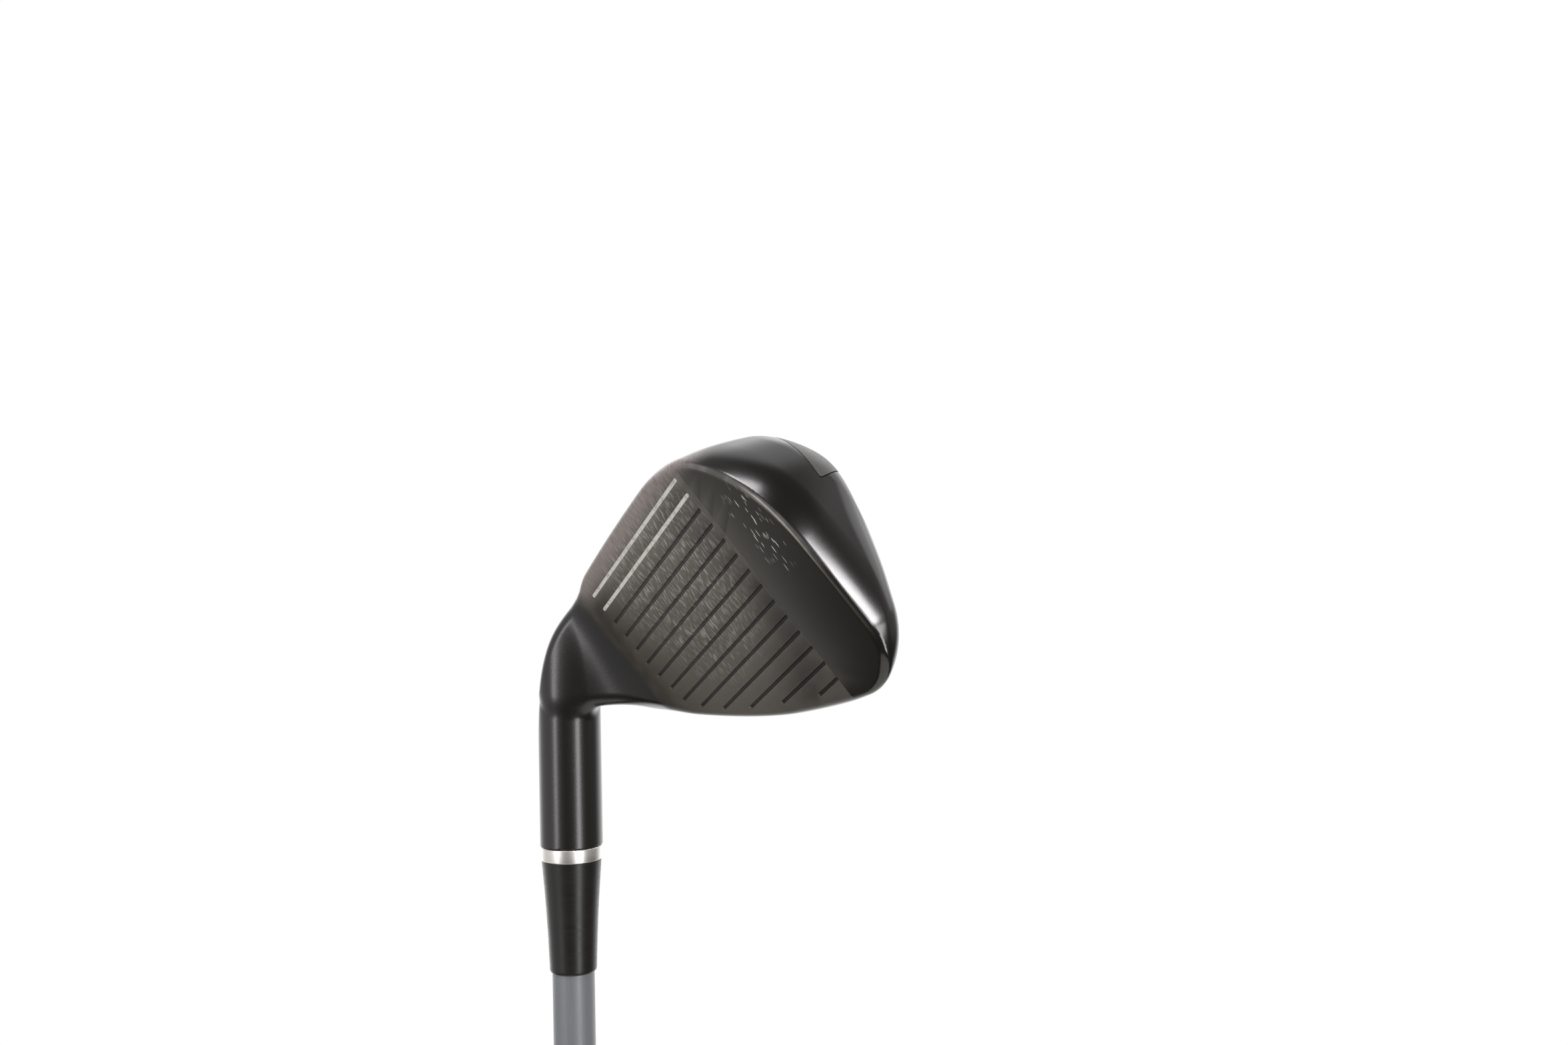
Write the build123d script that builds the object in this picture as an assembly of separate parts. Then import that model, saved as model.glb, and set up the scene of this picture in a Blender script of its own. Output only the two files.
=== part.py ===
from build123d import *
from math import cos, radians, sin
import os

# Hybrid iron, right-handed.
# Row frame: origin at the middle of the butt cap, +Z up the shaft axis to the head,
# +X towards the toe side of the shaft, -Y towards the side that the face looks to.
# All lengths are in millimetres.

# ---- driving dimensions -------------------------------------------------------------------------

CLUB_LENGTH = 940.0        # butt to the ground, along the shaft axis
LIE = radians(62.5)        # shaft axis to the ground
LOFT = radians(29.0)       # face plane to the vertical

# Address frame: x along the ground to the toe, y to the target, z up, from the heel end of the
# lowest scoreline. The shaft axis passes this point of it.
AXIS_X = -19.84
AXIS_Y = -0.50
AXIS_Z = -0.27
GROUND_Z = -7.2

# scorelines
LINE_COUNT = 14
LINE_PITCH = 3.7
LINE_LENGTH = 51.0
LINE_WIDTH = 0.8
LINE_DEPTH = 0.45
LINE_FLOOR = 0.35          # flat width at the bottom of a scoreline
LINE_START_STEP = 0.25
TOPLINE_MARGIN = 3.2       # blank strip under the topline, where the upper lines are cut short
PAINTED_LINES = 2
PAINT_DEPTH = 0.30

# head outline on the face plane: u runs along the scorelines to the toe, v up the face
HEEL_U = -10.0
TOE_U = 69.6
SOLE_V = -5.6
SOLE_CAMBER = 0.9
SOLE_MID_U = 24.0
SOLE_HALF_U = 36.0
SOLE_BOUNCE = 1.6          # rise of the sole from its lowest line to the leading edge
SOLE_MID_DEPTH = 12.5
TOP_HALF_U = 30.0
TOP_MID_U = 30.0
TOP_MID_V = 47.6
TOP_SLOPE = 0.352
TOP_BOW = 2.1
TOE_LOW_R = 22.0
TOE_HIGH_R = 13.0
TOE_TUCK_FROM = 13.0
TOE_TUCK = 0.5
TOE_LOW_SHARE = 0.60       # most of the toe's height that its low corner takes
TOE_HIGH_SHARE = 0.32
HEEL_ROUND = 2.5

# head depth, measured square to the face plane
TOPLINE_DEPTH = 6.0        # thickness of the topline
BACK_SLOPE = 0.50          # depth gained for each millimetre below the topline
BACK_SHIFT = 0.62          # depth a wall takes on the sloping back, for each millimetre of wall
BACK_DROP = 26.0           # below this the back runs square to the sole
REAR_DEPTH = 20.7          # deepest point of the rear
CREST_R = 1.0              # rounded edge between the face and the rest
REAR_R = 3.0
HEEL_SHIFT_FROM = 12.0
HEEL_SHIFT = 2.4           # how fast the rear narrows towards the toe, past the hosel's depth
TOPLINE_BREAK_FRONT = 1.2  # the topline turns into the back between these two depths
TOPLINE_BREAK_REAR = 1.4

# walls
WALL = 2.1
SOLE_WALL = 6.6
FACE_WALL = 2.3
FACE_RIM = 1.8             # width of the body's own rim round the face plate

# rear cap
CAP_TOP_V = 18.4
CAP_TOP_N = 12.0
CAP_LEAN = 0.27            # depth gained by the cap's front edge for each millimetre down
CAP_TOP_RISE = 0.12        # the cap's top edge climbs this much for each millimetre back
CAP_HEEL_U = 6.0
CAP_GAP = 0.15
CAP_WALL = 2.4
LEDGE_WIDTH = 3.0
GLUE = 0.15
LEDGE_INSET = 4.05
SMALLEST_R = 0.6

# heel and neck
CREASE_U = -3.5            # the face plane ends here and the neck begins
FACE_HEEL_RIM = 1.5
HEEL_STATIONS = [          # height above the axis point, shift in x, shift in y, radius
    (-18.0, 0.0, 0.0, 7.05),
    (-10.0, 0.2, 0.8, 6.85),
    (-3.0, 0.9, 2.1, 6.45),
    (2.0, 2.2, 3.4, 5.85),
    (8.0, 5.5, 4.8, 4.5),
    (11.0, 8.0, 5.2, 2.5),
]
NECK_TURN = radians(25)
NECK_HALF = 6.8
NECK_LOW_Z = 4.0
NECK_HIGH_Z = -15.5
NECK_BLADE_VN = [(-4.3, 0.6), (29.5, 0.4), (29.0, 5.4), (0.0, 12.0)]

# hosel, ring and ferrule: heights are measured from the axis point above, down the shaft
HOSEL_R = 7.05
HOSEL_END = 47.2
HOSEL_CHAMFER = 0.35
BORE_R = 4.80
BORE_DEPTH = 31.0
RING_R = 6.90
RING_LENGTH = 3.0
FERRULE_LENGTH = 25.2
FERRULE_LOW_R = 6.70
FERRULE_HIGH_R = 5.25
FERRULE_LIP_R = 0.6

# shaft and grip
TIP_R = 4.70
BUTT_R = 7.62
TIP_PARALLEL = 210.0
BUTT_PARALLEL = 230.0
TUBE_WALL_TIP = 1.55
TUBE_WALL_BUTT = 0.95
TIP_WEIGHT_R = 3.1
TIP_WEIGHT_LENGTH = 14.0
TAPE_THICKNESS = 0.2
TAPE_LENGTH = 258.0
GRIP_LENGTH = 268.0
GRIP_CAP = 5.0             # rubber under the butt of the shaft
GRIP_BUTT_R = 12.0
GRIP_MOUTH_R = 8.9
CAP_LIP_R = 2.2
VENT_R = 1.6
GRIP_MOUTH_BAND = 4.0
GRIP_TAPER_FROM = 30.0
GRIP_CAP_R = 13.6
GRIP_CAP_BAND = 9.0
FIT_GAP = 0.01             # radial room left between bonded round pieces
RING_EDGE_R = 0.5
TIP_WEIGHT_HEAD = 1.0
TIP_WEIGHT_ROOM = 0.1      # radial room between the plug's head and the bore's epoxy
SHAFT_TIP_ROOM = 0.2       # room between the plug and the bottom of the bore
EPOXY_INSET = 0.5          # the epoxy stops short of the hosel's mouth
FERRULE_BOW = 0.62
FERRULE_BOW_AT = 0.4
FERRULE_TIP = 0.15         # thickness of the collar's edge on the shaft

# room for cutters
PAST = 1.0                 # a cutter runs this far past the surface that it opens
HEAD_REACH = 100.0         # more than the head's length
HEAD_BELOW_V = -30.0       # under the whole head
HEAD_BEHIND = 60.0         # behind the whole head

# ---- frames -------------------------------------------------------------------------------------


def row_vector(x, y, z):
    """Turn a direction of the address frame into the row frame."""
    return Vector(sin(LIE) * x + cos(LIE) * z, -y, cos(LIE) * x - sin(LIE) * z)


AXIS_POINT = Vector(0, 0, CLUB_LENGTH - (AXIS_Z - GROUND_Z) / sin(LIE))
FACE_ORIGIN = AXIS_POINT + row_vector(-AXIS_X, -AXIS_Y, -AXIS_Z)
U_DIR = row_vector(1, 0, 0)
N_DIR = row_vector(0, -cos(LOFT), -sin(LOFT))
FACE = Plane(origin=FACE_ORIGIN, x_dir=U_DIR, z_dir=N_DIR)     # x = u, y = v, z = depth

HOSEL_Z = AXIS_POINT.Z - HOSEL_END
BORE_Z = HOSEL_Z + BORE_DEPTH
RING_Z = HOSEL_Z - RING_LENGTH
FERRULE_Z = RING_Z - FERRULE_LENGTH
SHAFT_BUTT_Z = GRIP_CAP
SHAFT_TIP_Z = BORE_Z - TIP_WEIGHT_HEAD - SHAFT_TIP_ROOM


def turned(*outline):
    """A solid of revolution about the shaft axis, from (radius, height) points."""
    profile = Plane.XZ * make_face(Polyline(*outline, close=True))
    return revolve(profile, Axis.Z)


def rod(radius, z_low, z_high):
    """Cylinder about the shaft axis between two heights."""
    return Pos(0, 0, (z_low + z_high) / 2) * Cylinder(radius, z_high - z_low)


def section(u, v):
    """Plane across the scorelines: its x runs up the face and its y into the head."""
    return Plane(origin=FACE.from_local_coords((u, v, 0)), x_dir=FACE.y_dir, z_dir=FACE.x_dir)


# ---- head envelope ------------------------------------------------------------------------------


def sole_height(depth):
    """Height v of the sole at a depth behind the face: the sole lies level at address."""
    bounce = SOLE_BOUNCE * ((depth - SOLE_MID_DEPTH) / SOLE_MID_DEPTH) ** 2
    return (GROUND_Z + bounce + depth * sin(LOFT)) / cos(LOFT)


def sole_line(u):
    """Height of the leading edge along the face: a shallow heel-to-toe camber."""
    return SOLE_V + SOLE_CAMBER * ((u - SOLE_MID_U) / SOLE_HALF_U) ** 2


def topline(u):
    """Height of the topline along the face: rising to the toe and easing off."""
    reach = u - TOP_MID_U
    return TOP_MID_V + TOP_SLOPE * reach - TOP_BOW * (reach / TOP_HALF_U) ** 2


def corner(mid_u, mid_v, radius, angles):
    """Points round an arc, by angle from straight down."""
    return [(mid_u + radius * sin(radians(a)), mid_v - radius * cos(radians(a))) for a in angles]


def outline(depth, inset, sole_extra=0.0):
    """Closed outline of the head at a depth behind the face plane, drawn in by inset."""
    back_depth = depth + inset * BACK_SHIFT - TOPLINE_DEPTH
    drop = min(BACK_DROP, max(0.0, back_depth / BACK_SLOPE)) + inset
    rise = sole_height(depth) - sole_height(0) + inset + sole_extra
    toe = TOE_U - max(0.0, depth - TOE_TUCK_FROM) * TOE_TUCK - inset
    heel = HEEL_U + max(0.0, depth - HEEL_SHIFT_FROM) * HEEL_SHIFT + inset

    def low(u):
        return sole_line(u) + rise

    def high(u):
        return topline(u) - drop

    toe_height = high(toe - TOE_HIGH_R) - low(toe - TOE_LOW_R)
    low_r = min(TOE_LOW_R - inset, TOE_LOW_SHARE * toe_height)
    high_r = min(TOE_HIGH_R - inset, TOE_HIGH_SHARE * toe_height)
    low_mid = low(toe - low_r) + low_r
    high_mid = high(toe - high_r) - high_r
    sole_span = toe - low_r - heel
    top_span = toe - high_r - heel
    sole_us = [heel + HEEL_ROUND, heel + sole_span / 3, heel + sole_span * 2 / 3]
    top_us = [heel + top_span * 3 / 4, heel + top_span / 2, heel + top_span / 4, heel + HEEL_ROUND]
    points = [(u, low(u)) for u in sole_us]
    points += corner(toe - low_r, low_mid, low_r, (5, 27, 50, 72))
    points += [(toe, low_mid + (high_mid - low_mid) * share) for share in (0.15, 0.8)]
    points += corner(toe - high_r, high_mid, high_r, (110, 135, 160))
    points += [(u, high(u)) for u in top_us]
    points += [(heel, (high(heel) + low(heel)) / 2)]
    return FACE.offset(depth) * Spline(*points, periodic=True)


def envelope(inset, front=0.0, sole_extra=0.0):
    """Smooth block of the head without the hosel, drawn in by inset all round."""
    rear = REAR_DEPTH - inset
    rear_r = max(SMALLEST_R, REAR_R - inset)
    stations = [
        (front, inset + CREST_R),
        (front + 0.3 * CREST_R, inset + 0.3 * CREST_R),
        (front + CREST_R, inset),
        (TOPLINE_DEPTH - TOPLINE_BREAK_FRONT, inset),
        (TOPLINE_DEPTH + TOPLINE_BREAK_REAR, inset),
        (10.0, inset),
        (14.0, inset),
        (rear - rear_r, inset),
        (rear - 0.3 * rear_r, inset + 0.3 * rear_r),
        (rear, inset + rear_r),
    ]
    return loft([make_face(outline(depth, drawn, sole_extra)) for depth, drawn in stations])


def cap_zone(grow):
    """Space of the rear cap: behind its front edge and below its top edge, grown by grow."""
    low_n = CAP_TOP_N + CAP_LEAN * (CAP_TOP_V - HEAD_BELOW_V) - grow
    far_v = CAP_TOP_V + grow + CAP_TOP_RISE * (HEAD_BEHIND - CAP_TOP_N)
    points = [
        (CAP_TOP_V + grow, CAP_TOP_N - grow),
        (HEAD_BELOW_V, low_n),
        (HEAD_BELOW_V, HEAD_BEHIND),
        (far_v, HEAD_BEHIND),
    ]
    return extrude(section(CAP_HEEL_U - grow, 0) * make_face(Polyline(*points, close=True)), HEAD_REACH)


def heel():
    """The hosel's lower end, which leans back and narrows into the sole."""
    circles = []
    for height, shift_x, shift_y, radius in HEEL_STATIONS:
        place = Plane(origin=AXIS_POINT + Vector(shift_x, shift_y, height))
        circles.append(place * Circle(radius))
    return loft(circles)


def neck():
    """Straight web between the hosel and the heel end of the blade."""
    across = Vector(-sin(NECK_TURN), cos(NECK_TURN), 0) * NECK_HALF
    hosel_end = [
        AXIS_POINT + across * -1 + Vector(0, 0, NECK_LOW_Z),
        AXIS_POINT + across * -1 + Vector(0, 0, NECK_HIGH_Z),
        AXIS_POINT + across + Vector(0, 0, NECK_HIGH_Z),
        AXIS_POINT + across + Vector(0, 0, NECK_LOW_Z),
    ]
    blade_end = [FACE.from_local_coords((CREASE_U, v, n)) for v, n in NECK_BLADE_VN]
    ends = [make_face(Polyline(*points, close=True)) for points in (hosel_end, blade_end)]
    return loft(ends, ruled=True)


def face_prism(depth):
    """Block that fills the face opening to a depth behind the face plane."""
    rim = make_face(outline(0, FACE_RIM))
    toe_side = Box(HEAD_REACH, 2 * HEAD_REACH, HEAD_REACH, align=(Align.MIN, Align.CENTER, Align.CENTER))
    return extrude(rim, depth) & (FACE * Pos(CREASE_U + FACE_HEEL_RIM, 0, 0) * toe_side)


def scorelines():
    """Cutters of the scorelines, cut short under the topline."""
    profile = Polyline(
        (-LINE_WIDTH / 2, -PAST), (LINE_WIDTH / 2, -PAST), (LINE_WIDTH / 2, 0),
        (LINE_FLOOR / 2, LINE_DEPTH), (-LINE_FLOOR / 2, LINE_DEPTH), (-LINE_WIDTH / 2, 0), close=True)
    cutters = []
    for index in range(LINE_COUNT):
        height = index * LINE_PITCH
        start = 0.0
        while topline(start) - TOPLINE_MARGIN < height:
            start += LINE_START_STEP
        cutters.append(extrude(section(start, height) * make_face(profile), LINE_LENGTH - start))
    return cutters


def scoreline_paint(index):
    """Paint that lies in the bottom of one scoreline."""
    low_half = LINE_FLOOR / 2
    high_half = low_half + (LINE_WIDTH / 2 - low_half) * PAINT_DEPTH / LINE_DEPTH
    top_n = LINE_DEPTH - PAINT_DEPTH
    profile = Polyline(
        (-high_half, top_n), (high_half, top_n), (low_half, LINE_DEPTH), (-low_half, LINE_DEPTH),
        close=True)
    return extrude(section(0, index * LINE_PITCH) * make_face(profile), LINE_LENGTH)


def head_body(block):
    """Hollow casting with the hosel, open at the face and behind the cap."""
    hosel = rod(HOSEL_R, HOSEL_Z, AXIS_POINT.Z + HEEL_STATIONS[0][0]) + heel()
    casting = block + neck() + hosel
    cavity = envelope(WALL, FACE_WALL, SOLE_WALL - WALL)
    zone = cap_zone(0)
    ledge_inner = envelope(LEDGE_INSET)
    rim = (block - ledge_inner) & (cap_zone(LEDGE_WIDTH) - zone)
    ledge = (envelope(CAP_WALL + GLUE) - ledge_inner) & (zone - cap_zone(-LEDGE_WIDTH))
    shell = casting - cavity - zone - face_prism(FACE_WALL)
    body = shell + rim + ledge - rod(BORE_R, HOSEL_Z - PAST, BORE_Z)
    mouth = body.edges().filter_by(GeomType.CIRCLE).group_by(Axis.Z)[0]
    return chamfer(mouth, HOSEL_CHAMFER)


def cap_adhesive():
    """Bond line between the cap and the body's ledge."""
    layer = envelope(CAP_WALL) - envelope(CAP_WALL + GLUE)
    return layer & (cap_zone(-CAP_GAP) - cap_zone(-LEDGE_WIDTH))


def shaft_radius(height):
    """Outer radius of the shaft: parallel butt, even taper, parallel tip."""
    taper_from = SHAFT_BUTT_Z + BUTT_PARALLEL
    taper_to = SHAFT_TIP_Z - TIP_PARALLEL
    share = min(1.0, max(0.0, (height - taper_from) / (taper_to - taper_from)))
    return BUTT_R + share * (TIP_R - BUTT_R)


def shaft():
    """Stepless tapered tube, open at both ends."""
    taper_from = SHAFT_BUTT_Z + BUTT_PARALLEL
    taper_to = SHAFT_TIP_Z - TIP_PARALLEL
    butt_bore = BUTT_R - TUBE_WALL_BUTT
    tip_bore = TIP_R - TUBE_WALL_TIP
    return turned(
        (BUTT_R, SHAFT_BUTT_Z), (BUTT_R, taper_from), (TIP_R, taper_to), (TIP_R, SHAFT_TIP_Z),
        (tip_bore, SHAFT_TIP_Z), (tip_bore, taper_to), (butt_bore, taper_from), (butt_bore, SHAFT_BUTT_Z))


def tip_weight():
    """Swing-weight plug: a stem in the shaft tip and a head that seats on its end."""
    stem_low = SHAFT_TIP_Z - TIP_WEIGHT_LENGTH
    head_high = SHAFT_TIP_Z + TIP_WEIGHT_HEAD
    return rod(TIP_WEIGHT_R, stem_low, SHAFT_TIP_Z) + rod(TIP_R - TIP_WEIGHT_ROOM, SHAFT_TIP_Z, head_high)


def tip_epoxy():
    """Bond line between the shaft tip and the hosel's bore."""
    layer = rod(BORE_R - FIT_GAP, HOSEL_Z + EPOXY_INSET, SHAFT_TIP_Z)
    return layer - rod(TIP_R + FIT_GAP, HOSEL_Z, SHAFT_TIP_Z + PAST)


def ferrule_ring():
    """Trim ring between the hosel and the ferrule."""
    ring = rod(RING_R, RING_Z, HOSEL_Z)
    ring = fillet(ring.edges().filter_by(GeomType.CIRCLE), RING_EDGE_R)
    return ring - rod(TIP_R + FIT_GAP, RING_Z - PAST, HOSEL_Z + PAST)


def ferrule():
    """Collar that tapers with a slight bow from the ring down to the shaft."""
    low = FERRULE_Z
    bore = TIP_R + FIT_GAP
    wide_end = (FERRULE_LOW_R, RING_Z)
    bow = (FERRULE_LOW_R - FERRULE_BOW, RING_Z - FERRULE_BOW_AT * FERRULE_LENGTH)
    lip = (FERRULE_HIGH_R, low + FERRULE_LIP_R)
    lip_end = (bore + FERRULE_TIP, low)
    with BuildSketch(Plane.XZ) as profile:
        with BuildLine():
            Line((bore, RING_Z), wide_end)
            Spline(wide_end, bow, lip)
            Line(lip, lip_end)
            Line(lip_end, (bore, low))
            Line((bore, low), (bore, RING_Z))
        make_face()
    return revolve(profile.sketch, Axis.Z)


def grip_tape():
    """Double-sided tape wound round the butt of the shaft."""
    high = SHAFT_BUTT_Z + TAPE_LENGTH
    mid = SHAFT_BUTT_Z + BUTT_PARALLEL
    points = [(shaft_radius(z), z) for z in (SHAFT_BUTT_Z, mid, high)]
    outer = [(radius + TAPE_THICKNESS, z) for radius, z in reversed(points)]
    return turned(*points, *outer)


def grip():
    """Rubber sleeve with its end cap and vent hole in one moulding."""
    mid = SHAFT_BUTT_Z + BUTT_PARALLEL
    inside = [(shaft_radius(z) + TAPE_THICKNESS, z) for z in (SHAFT_BUTT_Z, mid, GRIP_LENGTH)]
    outside = [(GRIP_MOUTH_R, GRIP_LENGTH), (GRIP_MOUTH_R, GRIP_LENGTH - GRIP_MOUTH_BAND),
               (GRIP_BUTT_R, GRIP_TAPER_FROM), (GRIP_CAP_R, GRIP_CAP_BAND), (GRIP_CAP_R, 0)]
    body = turned((0, SHAFT_BUTT_Z), *inside, *outside, (0, 0))
    rim = body.edges().filter_by(GeomType.CIRCLE).group_by(Axis.Z)[0]
    body = fillet(rim, CAP_LIP_R)
    return body - rod(VENT_R, -PAST, SHAFT_BUTT_Z + PAST)


def write(name, solid):
    export_step(solid, "parts/" + name + ".step")


if __name__ == "__main__":
    os.makedirs("parts", exist_ok=True)
    block = envelope(0.0)
    write("head_body", head_body(block))
    write("face_plate", face_prism(FACE_WALL) - scorelines())
    for number in range(PAINTED_LINES):
        write("scoreline_paint_" + str(number + 1), scoreline_paint(number))
    write("rear_cap", (block - envelope(CAP_WALL)) & cap_zone(-CAP_GAP))
    write("cap_adhesive", cap_adhesive())
    write("tip_weight", tip_weight())
    write("tip_epoxy", tip_epoxy())
    write("ferrule_ring", ferrule_ring())
    write("ferrule", ferrule())
    write("shaft", shaft())
    write("grip_tape", grip_tape())
    write("grip", grip())
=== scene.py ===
from math import cos, pi, radians, sin, sqrt

import bmesh
import bpy
import numpy as np
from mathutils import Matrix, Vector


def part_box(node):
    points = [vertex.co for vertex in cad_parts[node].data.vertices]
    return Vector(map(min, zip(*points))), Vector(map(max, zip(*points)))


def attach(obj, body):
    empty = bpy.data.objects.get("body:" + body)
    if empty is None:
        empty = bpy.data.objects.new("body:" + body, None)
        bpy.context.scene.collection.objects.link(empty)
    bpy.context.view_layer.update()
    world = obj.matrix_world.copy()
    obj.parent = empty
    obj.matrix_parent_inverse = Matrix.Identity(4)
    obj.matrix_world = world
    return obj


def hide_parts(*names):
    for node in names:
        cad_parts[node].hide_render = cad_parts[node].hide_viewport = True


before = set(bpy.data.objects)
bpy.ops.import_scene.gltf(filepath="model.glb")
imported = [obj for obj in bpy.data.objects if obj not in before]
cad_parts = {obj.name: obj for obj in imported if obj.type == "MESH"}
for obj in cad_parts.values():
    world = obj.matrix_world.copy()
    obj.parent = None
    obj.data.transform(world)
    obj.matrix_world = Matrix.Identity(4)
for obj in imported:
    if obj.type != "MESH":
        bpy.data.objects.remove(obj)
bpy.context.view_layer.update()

import openvdb
from mathutils import Matrix, Vector
from mathutils.geometry import delaunay_2d_cdt

# Looks of a right-handed hybrid iron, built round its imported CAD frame.
# The club stands on its butt, +Z runs up the shaft axis to the head. Shapes are worked out in
# millimetres and go into the scene in metres.

MM = 0.001

# ---- the head's own axes ------------------------------------------------------------------------
# u runs along the scorelines to the toe, v up the face, n into the head. Their origin is the heel
# end of the lowest scoreline.

LIE = radians(62.5)
LOFT = radians(29.0)
ALONG = np.array([sin(LIE), 0.0, cos(LIE)])
UP_FACE = np.array([cos(LIE) * cos(LOFT), sin(LOFT), -sin(LIE) * cos(LOFT)])
INWARD = np.array([-cos(LIE) * sin(LOFT), cos(LOFT), sin(LIE) * sin(LOFT)])
HEAD_AXES = np.stack([ALONG, UP_FACE, INWARD])

HOSEL_LENGTH = 47.2
AXIS_TO_FACE = np.array([17.72, -0.50, 8.92])  # from the axis point, HOSEL_LENGTH above the ring
AXIS_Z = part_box("ferrule_ring")[1][2] / MM + HOSEL_LENGTH
FACE_ORIGIN = AXIS_TO_FACE + np.array([0.0, 0.0, AXIS_Z])
AXIS_IN_HEAD = HEAD_AXES @ (np.array([0.0, 0.0, AXIS_Z]) - FACE_ORIGIN)
DOWN_SHAFT = -HEAD_AXES[:, 2]

# ---- head shape ---------------------------------------------------------------------------------

FACE_LENGTH_U = 68.4       # face plane to the toe's edge
TOE_BELLY = 1.6            # how far the toe swells behind the face
TOE_BELLY_N = 8.0
TOE_CORNER_R = 12.8
TOE_LEAN = 0.0008
TOE_LEAN_FROM_V = 20.0
TOE_STRETCH = 1.05         # keeps the leaning toe's field close to a distance
TOPLINE_V = 47.5           # topline height at its middle
TOPLINE_MID_U = 30.0
TOPLINE_HALF_U = 30.0
TOPLINE_RISE = 0.352
TOPLINE_BOW = 1.94
TOPLINE_DEPTH = 6.1
BACK_SLOPE = 0.50
BACK_START_V = 51.25
BACK_START_BLEND = 4.0
REAR_N = 20.65
REAR_FROM_U = 28.0
REAR_NARROWING = 0.009
REAR_CORNER_R = 6.4
REAR_EDGE_R = 2.3          # rounded edge between the topline and the back
REAR_EDGE_U = (30, 60)     # it grows over this range to its radius at the toe
REAR_EDGE_HIGH_R = 4.9     # its radius at the toe, near the topline
REAR_EDGE_LOW_R = 6.8      # its radius at the toe, near the sole
REAR_EDGE_V = (40.5, 24.5)
REAR_EDGE_SOLE_R = 1.5     # added along the sole
REAR_EDGE_SOLE_V = (20, 5)
UNDER_TOE_R = 29.5         # rounded corner between the toe and the sole, at the face
UNDER_TOE_SHRINK = 0.79
UNDER_TOE_MIN_R = 5.6
UNDER_TOE_U = (15, 40)
SOLE_HEEL_R = 4.0          # the same corner, heelward of that range
SOLE_Z = -7.8              # lowest point of the sole, in the address position
SOLE_CENTRE_Y = -11.0
SOLE_BOUNCE = 0.0082
SOLE_CAMBER = 0.75
SOLE_MID_U = 28.0
SOLE_HALF_U = 34.0
SOLE_STRETCH = 1.02        # keeps the curved sole's field close to a distance
HOSEL_R = 7.05
HOSEL_EDGE_R = 0.35
HOSEL_FOOT_R = 4.8         # rounding between the hosel's foot and the sole
HOSEL_FILLET_R = 0.4       # fillet between the hosel and the blade, at the heel's side
HOSEL_FILLET_GROWTH = 2.6  # added on the side of the blade
HOSEL_FILLET_SIDE = (5, -4)
HEEL_SIDE = (-0.859, -0.512)  # the heel runs on in line with the hosel's side
HEEL_JOIN_R = 4.0
HEEL_SOLE_R = 24.0
HEEL_REAR_R = 3.7          # added to the rear edge's rounding, past the heel
HEEL_REAR_U = (0, -10)
CREST_R = 1.0              # rounded edge all round the face
HEEL_CREST_R = 3.4         # added past the heel
HEEL_CREST_U = (3, -14)
LEADING_EDGE_R = 1.2       # added along the sole
LEADING_EDGE_V = (1, -4)
TOPLINE_CREST_R = 0.8      # added along the topline
TOPLINE_CREST_BELOW = (-8, -4)
CREASE_U = -3.5            # the face plane ends here and the neck begins
CREASE_BEND_V = 15.5
CREASE_BEND_SIZE = 9.0
CREASE_LEAN = 0.27
NECK_MIN_R = 5.0
WEB_TOP = 16.7             # the neck's web ends this far down the shaft from the axis point
WEB_TOP_R = 3.7


def rounded_max(a, b, radius):
    """Intersection of two distance fields with its edge rounded to a radius."""
    over_a = np.maximum(a + radius, 0.0)
    over_b = np.maximum(b + radius, 0.0)
    return np.minimum(np.maximum(a, b), -radius) + np.sqrt(over_a * over_a + over_b * over_b)


def rounded_min(a, b, radius):
    """Union of two distance fields with its inside corner filled to a radius."""
    return -rounded_max(-a, -b, radius)


def soft_min(a, b, width):
    """Lower of two values, with the change from one to the other spread over a width."""
    closeness = np.maximum(width - np.abs(a - b), 0.0) / width
    return np.minimum(a, b) - 0.25 * width * closeness * closeness


def ramp(start, end, value):
    """Smooth step from 0 at start to 1 at end."""
    share = np.clip((value - start) / (end - start), 0.0, 1.0)
    return share * share * (3.0 - 2.0 * share)


def topline(u):
    reach = (u - TOPLINE_MID_U) / TOPLINE_HALF_U
    return TOPLINE_V + TOPLINE_RISE * (u - TOPLINE_MID_U) - TOPLINE_BOW * reach * reach


def topline_slope(u):
    return TOPLINE_RISE - 2.0 * TOPLINE_BOW * (u - TOPLINE_MID_U) / TOPLINE_HALF_U ** 2


def sole(u, v, n):
    """Distance outside the sole, which is curved from front to back and from heel to toe."""
    y = -sin(LOFT) * v - cos(LOFT) * n
    z = cos(LOFT) * v - sin(LOFT) * n
    camber = SOLE_CAMBER * ((u - SOLE_MID_U) / SOLE_HALF_U) ** 2
    return (SOLE_Z + SOLE_BOUNCE * (y - SOLE_CENTRE_Y) ** 2 + camber - z) / SOLE_STRETCH


def shaft_line(u, v, n):
    """Distance down the shaft from the axis point, and distance from the shaft's axis."""
    du, dv, dn = u - AXIS_IN_HEAD[0], v - AXIS_IN_HEAD[1], n - AXIS_IN_HEAD[2]
    down = du * DOWN_SHAFT[0] + dv * DOWN_SHAFT[1] + dn * DOWN_SHAFT[2]
    return down, np.sqrt(np.maximum(du * du + dv * dv + dn * dn - down * down, 0.0))


def heel_side(u, v):
    """Distance from the shaft's axis towards the heel, along the face."""
    return HEEL_SIDE[0] * (u - AXIS_IN_HEAD[0]) + HEEL_SIDE[1] * (v - AXIS_IN_HEAD[1])


def heel(u, v, n):
    """Distance outside the heel, a wide curve from the hosel's side to the sole."""
    return rounded_max(sole(u, v, n), heel_side(u, v) - HOSEL_R, HEEL_SOLE_R)


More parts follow.
